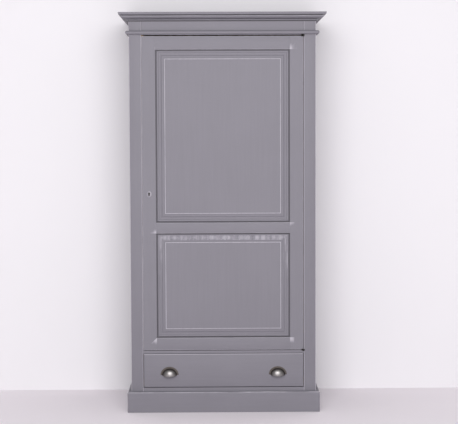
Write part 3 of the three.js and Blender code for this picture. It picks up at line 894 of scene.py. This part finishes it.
@dataclass
class Carcass:
    """The posts, rails, sides and boards of the case."""

    frieze_joint: float = 0.9 * MM
    strap_width: float = 10 * MM
    strap_play: float = 0.4 * MM
    bolt_throw: float = 11 * MM
    recess_height: float = 10 * MM
    neck_inset: float = 5.2 * MM
    neck_reach: tuple[float, float] = (7 * MM, 6 * MM)
    leaf_depths: tuple[float, float] = (2.2 * MM, 2.6 * MM)
    past: float = 5 * MM

    def hinge_recess(self, leaf: str, outside: Side) -> list[Box]:
        """Give the recesses for a hinge leaf: its strap and its neck.

        Args:
            leaf: The CAD node of the leaf.
            outside: The side on which the recess is open.

        Returns:
            The boxes to cut.
        """
        box, post = Box.of(leaf), Box.of("right_post")
        front = post.low.y
        middle = front + post.size.y / 2
        end = post.low.x - self.neck_inset
        z = (box.low.z - self.strap_play, box.high.z + self.strap_play)
        if outside is Side.TOP:
            z = (z[0], z[0] + self.recess_height)
        else:
            z = (z[1] - self.recess_height, z[1])
        half = self.strap_width / 2 + self.strap_play
        return [
            Box.between((box.low.x - self.strap_play, end), (middle - half, middle + half), z),
            Box.between((end - self.neck_reach[0], end + self.neck_reach[1]), (front - 2 * MM, middle), z),
        ]

    def build(self) -> None:
        """Make the case."""
        posts = {s: Box.of(f"{s}_post") for s in ("left", "right")}
        inner = posts["right"].low.x - PLAY
        strike = Box.of("strike_plate")
        bolt = Box.of("lock_bolt").grown(self.strap_play)
        mortise = Box.between((strike.low.x - self.bolt_throw, strike.high.x), (bolt.low.y, bolt.high.y),
                              (bolt.low.z, bolt.high.z))
        for side, box in posts.items():
            cuts = [strike.grown(PLAY).stretched([Side.RIGHT], 2 * MM), mortise] if side == "left" else []
            inward = Side.RIGHT if side == "left" else Side.LEFT
            # the posts' inner sides get painted shade in the gaps beside the door
            Board(f"{side}_post", "carcass", Grain.UPRIGHT, box, (Side.TOP,), cuts,
                  handling=2.0 if side == "right" else 1.4, shaded_in_gap=(inward,)).build()
            Board(f"{side}_side_panel", "carcass", Grain.UPRIGHT, Box.of(f"{side}_side_panel"),
                  (Side.TOP, Side.FRONT)).build()
        ends = (Side.LEFT, Side.RIGHT)
        foot = Box.of("top_rail").low.z
        cuts = [recess.spanning(2, foot - self.past, foot + self.leaf_depths[0])
                for recess in self.hinge_recess("hinge_frame_leaf_top", Side.BOTTOM)]
        rails = (("bottom_rail", inner, []), ("top_rail", inner - self.frieze_joint, cuts))
        for node, half, recesses in rails:
            box = Box.of(node).spanning(0, -half, half)
            Board(node, "carcass", Grain.ACROSS, box, ends + (Side.TOP,), recesses).build()
        self.floor(inner)
        Board("top_board", "carcass", Grain.ACROSS, Box.of("top_board"), (Side.FRONT,) + ends).build()

    def floor(self, inner: float) -> None:
        """Make the floor of the hanging space, notched round the posts.

        Args:
            inner: Half its width between the posts.
        """
        box, post = Box.of("wardrobe_floor"), Box.of("right_post")
        behind = post.high.y + PLAY
        notches = [Box.between(sorted((sign * inner, sign * (box.high.x + self.past))),
                               (box.low.y - self.past, behind), (box.low.z - MM, box.high.z + MM))
                   for sign in (-1, 1)]
        cuts = [recess.spanning(2, box.high.z - self.leaf_depths[1], box.high.z + self.past)
                for recess in self.hinge_recess("hinge_frame_leaf_bottom", Side.TOP)]
        # its top and bottom get painted shade where they show in the gaps at the door and the drawer
        Board("wardrobe_floor", "carcass", Grain.ACROSS, box, (Side.LEFT, Side.RIGHT, Side.BACK),
              notches + cuts, handling=0.0, shaded_in_gap=(Side.TOP, Side.BOTTOM)).build()


@dataclass
class RaisedPanel:
    """A raised panel: one board worked down from its field to the tongue, by insets."""

    node: str
    opening: Box
    tongue: float = 7.0
    quirk_floor: float = 12.0
    back: float = 15.5
    # how pale the painted highlight on the top slope is
    top_sheen: float = 0.0
    slope: tuple[float, float] = (11.0, 33.0)

    def section(self) -> list[Step]:
        """Give the moulding from the frame's edge to the field: in, deep and rubbed, in millimetres; the
        quirk floor's negative value paints shade there.
        """
        bead = [Step(10.4 - s.out, 7.6 - s.up, s.rub)
                for s in swept((0, 0), (5.2, 3.4), (12, 174), 12, 0.35)]
        hollow = [Step(19.5 + s.up, 3.6 + s.out)
                  for s in swept((0, 0), (4.3, 10.3), (-22, 88), 10)]
        return [
            Step(5.0, self.quirk_floor, -0.5), *bead, *hollow, Step(30.1, 3.35, 0.3), Step(31.5, 3.2),
            Step(36.4, 3.1, 0.3), Step(36.9, 3.3), Step(37.6, 3.3), Step(38.0, 1.9, 0.3), Step(39.4, 1.65),
            Step(42.9, 1.3, 0.4), Step(43.5, 0.85, 1.0), Step(44.3, 0.63, 1.0), Step(45.4, 0.60, 0.9),
            Step(47.2, 0.60, 0.0),
        ]

    def build(self) -> None:
        """Make the panel and hand it in."""
        low, high = self.opening.low, self.opening.high
        grown = self.tongue * MM
        blank = Box.between((low.x - grown, high.x + grown),
                            (low.y + self.quirk_floor * MM, low.y + self.back * MM),
                            (low.z - grown, high.z + grown))
        piece = Bench.block(f"{self.node}_raised", blank)
        steps = self.section()
        with Bench.editing(piece, Pick.FACES):
            Bench.choose(piece, Pick.FACES, lambda f: f.normal.y < -0.9)
            previous = Step(-self.tongue, self.quirk_floor)
            for step in steps:
                bpy.ops.mesh.inset(thickness=(step.out - previous.out) * MM,
                                   depth=(previous.up - step.up) * MM, use_even_offset=True)
                previous = step
        mark(piece, "arris", self.rub_at)
        mark_board(piece)
        Bench.smooth(piece, 24)
        hand_in(piece, "door", self.node, PAINT.material(Grain.UPRIGHT))

    def rub_at(self, point: Vector) -> float:
        """Give how rubbed the moulding is at a point, with painted shade in the quirk and a painted highlight
        along the top slope when the panel has one.
        """
        low, high = self.opening.low, self.opening.high
        inward = min(point.x - low.x, high.x - point.x, point.z - low.z, high.z - point.z) / MM
        deep = (point.y - low.y) / MM
        along_top = abs(inward - (high.z - point.z) / MM) < 0.5
        # a pale painted highlight on the up-facing top slope, standing in for light from above
        if self.top_sheen and along_top and self.slope[0] < inward < self.slope[1]:
            return self.top_sheen
        return min(self.section(), key=lambda s: abs(s.out - inward) + abs(s.up - deep)).rub


@dataclass
class Door:
    """The framed door with its two raised panels, lock and escutcheon."""

    arris: float = 0.6 * MM
    groove_depth: float = 8.0 * MM
    groove: tuple[float, float] = (9.2 * MM, 15.8 * MM)
    keyhole_radius: float = 4.5 * MM
    keyhole_slot: float = 5.0 * MM
    keyhole_drop: float = 11.0 * MM
    keyhole_flare: float = 1.4
    plate_rub: float = 0.72
    # how pale the painted highlight on the lower panel's top slope is
    top_slope_sheen: float = 0.72

    def openings(self) -> dict[str, Box]:
        """Give the two openings that the panels fill, at the door's face."""
        face = Box.of("door_lock_stile").low.y
        x = (Box.of("door_lock_stile").high.x, Box.of("door_hinge_stile").low.x)
        rails = [Box.of(f"door_{name}_rail") for name in ("bottom", "middle", "top")]
        return {
            "door_lower_panel": Box.between(x, (face, face), (rails[0].high.z, rails[1].low.z)),
            "door_upper_panel": Box.between(x, (face, face), (rails[1].high.z, rails[2].low.z)),
        }

    def grooves(self) -> list[Box]:
        """Give the grooves that hold the panels' tongues."""
        return [
            Box.between((o.low.x - self.groove_depth, o.high.x + self.groove_depth),
                        (o.low.y + self.groove[0], o.low.y + self.groove[1]),
                        (o.low.z - self.groove_depth, o.high.z + self.groove_depth))
            for o in self.openings().values()
        ]

    def stile(self, node: str, inner: Side, cuts: Sequence[Box]) -> None:
        """Make a stile, its inner arris eased only along the panels.

        Args:
            node: The stile's CAD node.
            inner: The side towards the panels.
            cuts: The recesses of its fittings.
        """
        box = Box.of(node)
        board = Board(node, "door", Grain.UPRIGHT, box, (inner,), [*self.grooves(), *cuts])
        piece = board.shape()
        x = (box.high if inner is Side.RIGHT else box.low).x
        spans = [(o.low.z, o.high.z) for o in self.openings().values()]
        with Bench.editing(piece, Pick.EDGES):
            for height in (z for span in spans for z in span):
                Bench.slice((0, 0, height), (0, 0, 1))
            Bench.choose(piece, Pick.EDGES, lambda e: self.on_inner_arris(e, x, box.low.y, spans))
            bpy.ops.mesh.bevel(offset=self.arris, segments=3, affect="EDGES")
        mark_board(piece, box.stretched((inner,), PAST))
        mark(piece, "arris", lambda p: self.rub_at(p, x, box.low.y, spans))
        Bench.smooth(piece, 12)
        hand_in(piece, "door", node, PAINT.material(Grain.UPRIGHT))

    @staticmethod
    def on_inner_arris(edge: bmesh.types.BMEdge, x: float, y: float, spans: Sequence[tuple]) -> bool:
        """Tell whether an edge lies on a stile's inner front arris, along a panel."""
        middle = (edge.verts[0].co + edge.verts[1].co) / 2
        upright = abs(edge.verts[0].co.z - edge.verts[1].co.z) > 20 * MM
        beside = any(low < middle.z < high for low, high in spans)
        return upright and beside and abs(middle.x - x) < PLAY and abs(middle.y - y) < PLAY

    def rub_at(self, point: Vector, x: float, y: float, spans: Sequence[tuple]) -> float:
        """Give how rubbed a stile's inner arris is at a point."""
        beside = any(low - MM < point.z < high + MM for low, high in spans)
        away = Vector((point.x - x, point.y - y)).length
        return max(0.0, 1 - away / self.arris) if beside else 0.0

    def keyhole_cutters(self, plate: Box) -> list[Piece]:
        """Make the round and the slot of the keyhole as two cutters.

        Args:
            plate: The escutcheon's box.

        Returns:
            The cutters.
        """
        centre = plate.middle + Vector((0, 0, 3 * MM))
        deep = 30 * MM
        Bench.put_down()
        bpy.ops.mesh.primitive_cylinder_add(vertices=40, radius=self.keyhole_radius, depth=deep,
                                            location=centre, rotation=(math.pi / 2, 0, 0))
        round_top = Bench.settle("keyhole_round")
        half = self.keyhole_slot / 2
        slot = Bench.block("keyhole_slot", Box.between(
            (centre.x - half, centre.x + half), (centre.y - deep / 2, centre.y + deep / 2),
            (centre.z - self.keyhole_drop, centre.z)))
        with Bench.editing(slot, Pick.FACES):
            Bench.choose(slot, Pick.FACES, lambda f: f.normal.z < -0.9)
            bpy.ops.transform.resize(value=(self.keyhole_flare, 1, 1), center_override=centre)
        return [round_top, slot]

    def escutcheon(self) -> None:
        """Make the oval escutcheon with its keyhole."""
        plate = Box.of("keyhole_escutcheon")
        Bench.put_down()
        bpy.ops.mesh.primitive_cylinder_add(vertices=72, radius=0.5, depth=1, location=plate.middle,
                                            rotation=(math.pi / 2, 0, 0))
        bpy.context.object.scale = (plate.size.x, plate.size.z, plate.size.y)
        piece = Bench.settle("keyhole_plate")
        with Bench.editing(piece, Pick.FACES):
            Bench.choose(piece, Pick.FACES, lambda f: f.normal.y < -0.9)
            bpy.ops.mesh.inset(thickness=0.9 * MM, depth=0)
            Bench.choose(piece, Pick.EDGES, lambda e: self.on_rim(e, plate))
            bpy.ops.mesh.bevel(offset=0.45 * MM, segments=3, affect="EDGES")
        for cutter in self.keyhole_cutters(plate):
            Bench.cut(piece, cutter)
        mark(piece, "arris", lambda point: self.plate_rub)
        mark_board(piece)
        Bench.smooth(piece)
        hand_in(piece, "door", "keyhole_escutcheon", PAINT.material(Grain.UPRIGHT))

    @staticmethod
    def on_rim(edge: bmesh.types.BMEdge, plate: Box) -> bool:
        """Tell whether an edge lies on the plate's outer front rim."""
        middle = (edge.verts[0].co + edge.verts[1].co) / 2
        far = Vector(((middle.x - plate.middle.x) / (plate.size.x / 2),
                      (middle.z - plate.middle.z) / (plate.size.z / 2))).length
        return abs(middle.y - plate.low.y) < 0.05 * MM and far > 0.985

    def build(self) -> None:
        """Make the door."""
        plate, lock = Box.of("keyhole_escutcheon"), Box.of("lock_case")
        hole = Box.between((plate.middle.x - 5 * MM, plate.middle.x + 5 * MM),
                           (plate.low.y, lock.high.y), (plate.middle.z - 9 * MM, plate.middle.z + 8 * MM))
        recess = lock.grown(PLAY).stretched((Side.LEFT, Side.BACK), 5 * MM)
        self.stile("door_lock_stile", Side.RIGHT, [recess, hole])
        leaves = []
        for end, outside in (("top", Side.TOP), ("bottom", Side.BOTTOM)):
            leaves += Carcass().hinge_recess(f"hinge_door_leaf_{end}", outside)
        self.stile("door_hinge_stile", Side.LEFT, leaves)
        ends = (Box.of("door_lock_stile").high.x + PLAY, Box.of("door_hinge_stile").low.x - PLAY)
        for name in ("bottom", "middle", "top"):
            box = Box.of(f"door_{name}_rail").spanning(0, *ends)
            Board(f"door_{name}_rail", "door", Grain.ACROSS, box, (Side.LEFT, Side.RIGHT),
                  self.grooves()).build()
        for node, opening in self.openings().items():
            # only the lower panel's top slope gets the painted highlight
            rub = self.top_slope_sheen if node == "door_lower_panel" else 0.0
            RaisedPanel(node, opening, top_sheen=rub).build()
        self.escutcheon()


@dataclass
class CupPull:
    """A cast cup pull: a shell open underneath, flanged against the drawer."""

    node: str = "cup_pull_left"
    twin: str = "cup_pull_right"
    flange: float = 8.0 * MM
    wall: float = 1.7 * MM
    rim: float = 39.0 * MM
    dip: float = 8.0 / 24.0
    flange_parts: tuple[float, ...] = (0.12, 0.55, 0.33)

    def __post_init__(self) -> None:
        """Find the middle of the cup's back and how far it swells each way."""
        box = Box.of(self.node)
        self.centre = Vector((box.middle.x, box.high.y, box.high.z - self.rim))
        self.swell = Vector((box.size.x / 2 - self.flange, box.size.y, self.rim - self.flange))

    def build(self) -> None:
        """Make one pull, copy it for the other side and hand both in."""
        Bench.put_down()
        bpy.ops.mesh.primitive_uv_sphere_add(segments=96, ring_count=48, radius=1, location=self.centre)
        bpy.context.object.scale = self.swell
        piece = Bench.settle(f"{self.node}_shell")
        with Bench.editing(piece, Pick.FACES):
            Bench.slice(self.centre - Vector((0, self.wall, 0)), (0, 1, 0), clear=True)
            self.draw_flange(piece)
            Bench.slice(self.centre, (0, self.dip, -1), clear=True)
            bpy.ops.mesh.select_all(action="SELECT")
            bpy.ops.mesh.normals_make_consistent(inside=False)
        self.thicken(piece)
        mark(piece, "swell", self.swell_at)
        Bench.smooth(piece, 50)
        copy = piece.copy()
        copy.data = piece.data.copy()
        copy.name = copy.data.name = f"{self.twin}_shell"
        bpy.context.scene.collection.objects.link(copy)
        copy.location.x = Box.of(self.twin).middle.x - self.centre.x
        Bench.pick_up(copy)
        bpy.ops.object.transform_apply(location=True, rotation=True, scale=True)
        hand_in(piece, "drawer", self.node, PEWTER.material())
        hand_in(copy, "drawer", self.twin, PEWTER.material())

    def draw_flange(self, piece: Piece) -> None:
        """Draw the cup's back edge out into a flat flange, in a few parts."""
        full = [(s + self.flange - 0.2 * MM) / s for s in (self.swell.x, self.swell.z)]
        done = 0.0
        Bench.choose(piece, Pick.EDGES, lambda e: e.is_boundary)
        for part in self.flange_parts:
            bpy.ops.mesh.extrude_edges_move()
            x, z = ((1 + (f - 1) * (done + part)) / (1 + (f - 1) * done) for f in full)
            bpy.ops.transform.resize(value=(x, 1, z), center_override=self.centre)
            done += part

    def thicken(self, piece: Piece) -> None:
        """Give the shell its wall and soften its rims."""
        Bench.pick_up(piece)
        modifier = piece.modifiers.new("wall", "SOLIDIFY")
        modifier.thickness, modifier.offset = self.wall, -1
        modifier.use_even_offset = True
        bpy.ops.object.modifier_apply(modifier=modifier.name)
        Bench.ease(piece, 0.45 * MM, 3, 50)

    def swell_at(self, point: Vector) -> float:
        """Give how polished the metal is: most at the front of the cup."""
        return max(0.0, (self.centre.y - point.y) / self.swell.y) ** 1.5


@dataclass
class Drawer:
    """The drawer's painted front, its box and its two pulls."""

    groove: float = 6.3 * MM

    def build(self) -> None:
        """Make the drawer."""
        bottom = Box.of("drawer_bottom").grown(PLAY).stretched((Side.BACK,), 5 * MM)
        # the front's bottom gets painted shade where it shows in the gap below the drawer
        Board("drawer_front", "drawer", Grain.ACROSS, Box.of("drawer_front"), (), [bottom],
              2.0 * MM, handling=2.4, kept=(Side.BOTTOM, Side.LEFT, Side.RIGHT),
              shaded_in_gap=(Side.BOTTOM,)).build()
        for side in ("left", "right"):
            Board(f"drawer_side_{side}", "drawer", Grain.DEEP, Box.of(f"drawer_side_{side}"),
                  (Side.FRONT,), [bottom], 0.8 * MM, PINE).build()
        Board("drawer_back", "drawer", Grain.ACROSS, Box.of("drawer_back"), (Side.LEFT, Side.RIGHT),
              (), 0.8 * MM, PINE).build()
        Board("drawer_bottom", "drawer", Grain.ACROSS, Box.of("drawer_bottom"), (),
              (), 0.6 * MM, PINE).build()
        CupPull().build()


@dataclass
class Inside:
    """The hat shelf and hanging rail, and the frame's own pieces given their finish."""

    steel: tuple[str, ...] = (
        "rail_socket_left", "rail_socket_right", "strike_plate", "lock_case", "lock_bolt",
        "hinge_frame_leaf_top", "hinge_frame_leaf_bottom", "hinge_door_leaf_top", "hinge_door_leaf_bottom",
    )
    deep: tuple[str, ...] = ("shelf_batten_left", "shelf_batten_right", "drawer_runner_left",
                             "drawer_runner_right", "drawer_guide_left", "drawer_guide_right")
    across: tuple[str, ...] = ("rear_bottom_rail", "drawer_stop_left", "drawer_stop_right")

    def pole(self) -> None:
        """Make the round hanging rail."""
        box = Box.of("hanging_rail")
        Bench.put_down()
        bpy.ops.mesh.primitive_cylinder_add(vertices=64, radius=box.size.z / 2, depth=box.size.x,
                                            location=box.middle, rotation=(0, math.pi / 2, 0))
        piece = Bench.settle("hanging_rail_pole")
        Bench.ease(piece, 1.5 * MM, 2)
        Bench.smooth(piece)
        hand_in(piece, "carcass", "hanging_rail", PINE.material(Grain.ACROSS))

    def build(self) -> None:
        """Make the shelf and rail, and finish what the frame already shapes."""
        Board("hat_shelf", "carcass", Grain.ACROSS, Box.of("hat_shelf"), (Side.LEFT, Side.RIGHT), (),
              1.5 * MM, PINE).build()
        self.pole()
        upright = ("door_stop_left", *(f"back_board_{i}" for i in range(1, 7)))
        for names, grain in ((self.deep, Grain.DEEP), (self.across, Grain.ACROSS), (upright, Grain.UPRIGHT)):
            for name in names:
                dress(bpy.data.objects[name], PINE.material(grain))
                LOG.info("%s is waxed pine", name)
        for name in self.steel:
            dress(bpy.data.objects[name], STEEL.material())
            LOG.info("%s is steel", name)


@dataclass
class Studio:
    """The camera, the lights, the floor and the backdrop."""

    lens: float = 106.1
    eye: tuple[float, float, float] = (-0.0433, -6.7005, 1.3607)
    yaw: float = 0.637
    pitch: float = 3.499
    roll: float = -0.219
    wall_gap: float = 0.03
    air: tuple[float, ...] = (0.93, 0.92, 0.95, 1)
    air_strength: float = 0.50
    tint: tuple[float, ...] = (1.0, 0.985, 1.0)
    floor_colour: tuple[float, ...] = (0.91, 0.862, 0.892, 1)
    wall_colour: tuple[float, ...] = (0.835, 0.825, 0.841, 1)

    def camera(self) -> None:
        """Place the camera."""
        yaw, pitch, roll = (math.radians(a) for a in (self.yaw, self.pitch, self.roll))
        forward = Vector((math.sin(yaw) * math.cos(pitch), math.cos(yaw) * math.cos(pitch), -math.sin(pitch)))
        level = Vector((math.cos(yaw), -math.sin(yaw), 0))
        upright = level.cross(forward)
        right = level * math.cos(roll) + upright * math.sin(roll)
        above = upright * math.cos(roll) - level * math.sin(roll)
        data = bpy.data.cameras.new("camera")
        data.lens, data.sensor_width, data.sensor_fit = self.lens, 36, "HORIZONTAL"
        data.clip_end = 100
        eye = bpy.data.objects.new("camera", data)
        bpy.context.scene.collection.objects.link(eye)
        rotation = Matrix((right, above, -forward)).transposed()
        eye.matrix_world = Matrix.Translation(self.eye) @ rotation.to_4x4()
        bpy.context.scene.camera = eye

    @staticmethod
    def softbox(name: str, place: Sequence[float], aim: Sequence[float], size: tuple[float, float],
                power: float, tint: Sequence[float]) -> None:
        """Hang one soft rectangular light.

        Args:
            name: The light's name.
            place: Where it hangs.
            aim: The spot that it faces.
            size: Its width and height, in metres.
            power: Its power, in watts.
            tint: Its colour.
        """
        data = bpy.data.lights.new(name, "AREA")
        data.shape, data.size, data.size_y = "RECTANGLE", size[0], size[1]
        data.energy, data.color = power, tint
        light = bpy.data.objects.new(name, data)
        bpy.context.scene.collection.objects.link(light)
        light.location = place
        light.rotation_euler = (Vector(aim) - Vector(place)).to_track_quat("-Z", "Y").to_euler()
        light.visible_camera = False

    @staticmethod
    def plain(name: str, colour: Sequence[float], one_sided: bool = False) -> Material:
        """Make a plain matt material for the floor or backdrop.

        Args:
            name: The material's name.
            colour: Its colour.
            one_sided: Whether it is clear from behind.

        Returns:
            The material.
        """
        tree = Tree(name)
        mottle = tree.noise(tree.place(), 1.5, 2)
        tint = tree.mix(mottle, [c * 0.985 for c in colour[:3]] + [1], colour)
        if not one_sided:
            return tree.finish(mottle, 0.05, MM, Base_Color=tint, Roughness=0.7)
        matt = tree.node("BsdfDiffuse", Color=tint).outputs[0]
        clear = tree.node("BsdfTransparent").outputs[0]
        behind = tree.node("NewGeometry").outputs["Backfacing"]
        shown = tree.node("MixShader", in0=behind, in1=matt, in2=clear).outputs[0]
        output = tree.node("OutputMaterial")
        tree.material.node_tree.links.new(shown, output.inputs[0])
        return tree.material

    def room(self) -> None:
        """Lay the floor and stand the backdrop behind the wardrobe."""
        wall = Box.of("left_side_panel").high.y + self.wall_gap
        Bench.put_down()
        bpy.ops.mesh.primitive_plane_add(size=24, location=(0, 0, 0))
        floor = Bench.settle("studio_floor")
        dress(floor, self.plain("pale_floor", self.floor_colour))
        Bench.put_down()
        bpy.ops.mesh.primitive_plane_add(size=1, location=(0, wall, 4), rotation=(math.pi / 2, 0, 0))
        bpy.context.object.scale = (24, 8, 1)
        backdrop = Bench.settle("studio_backdrop")
        dress(backdrop, self.plain("pale_wall", self.wall_colour, one_sided=True))

    def build(self) -> None:
        """Set the whole studio."""
        scene = bpy.context.scene
        scene.view_settings.view_transform = "Standard"
        world = bpy.data.worlds.new("studio_air")
        world.use_nodes = True
        scene.world = world
        background = world.node_tree.nodes["Background"]
        background.inputs["Color"].default_value = self.air
        background.inputs["Strength"].default_value = self.air_strength
        self.camera()
        self.room()
        self.softbox("broad_window", (0.0, -4.6, 2.5), (0, 0, 1.0), (3.0, 1.6), 121, self.tint)
        self.softbox("low_fill", (0.0, -6.0, 0.9), (0, 0, 0.9), (2.8, 1.2), 70, self.tint)


def main() -> None:
    """Build the wardrobe's looks around the frame, assembly by assembly."""
    logging.basicConfig(level=logging.INFO, format="%(message)s")
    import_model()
    Studio().build()
    for assembly in (Carcass(), Mouldings(), Door(), Drawer(), Inside()):
        assembly.build()
    bpy.context.view_layer.update()


if __name__ == "__main__":
    main()
